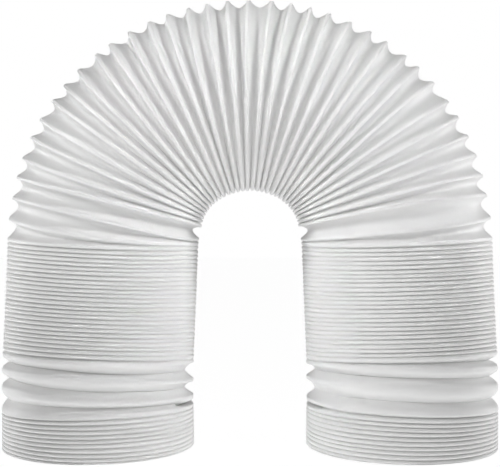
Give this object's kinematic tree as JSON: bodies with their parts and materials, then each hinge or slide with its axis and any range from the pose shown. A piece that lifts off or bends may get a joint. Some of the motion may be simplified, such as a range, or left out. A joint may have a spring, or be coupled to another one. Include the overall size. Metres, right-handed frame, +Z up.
{
  "type": "air conditioner exhaust hose",
  "caption": "White accordion exhaust hose for a portable air conditioner, bent into an upturned U that stands on its two round mouths.",
  "frame": {"origin": "centre of the bounding box's footprint, on the floor between the two mouths", "axes": "+X from one leg to the other, +Z up towards the top of the bend, -Y the front"},
  "size_m": [0.39, 0.1546, 0.3502],
  "materials": {
    "white_polypropylene": "satin"
  },
  "bodies": {
    "root": {"exhaust_hose": "white_polypropylene"}
  },
  "joints": []
}
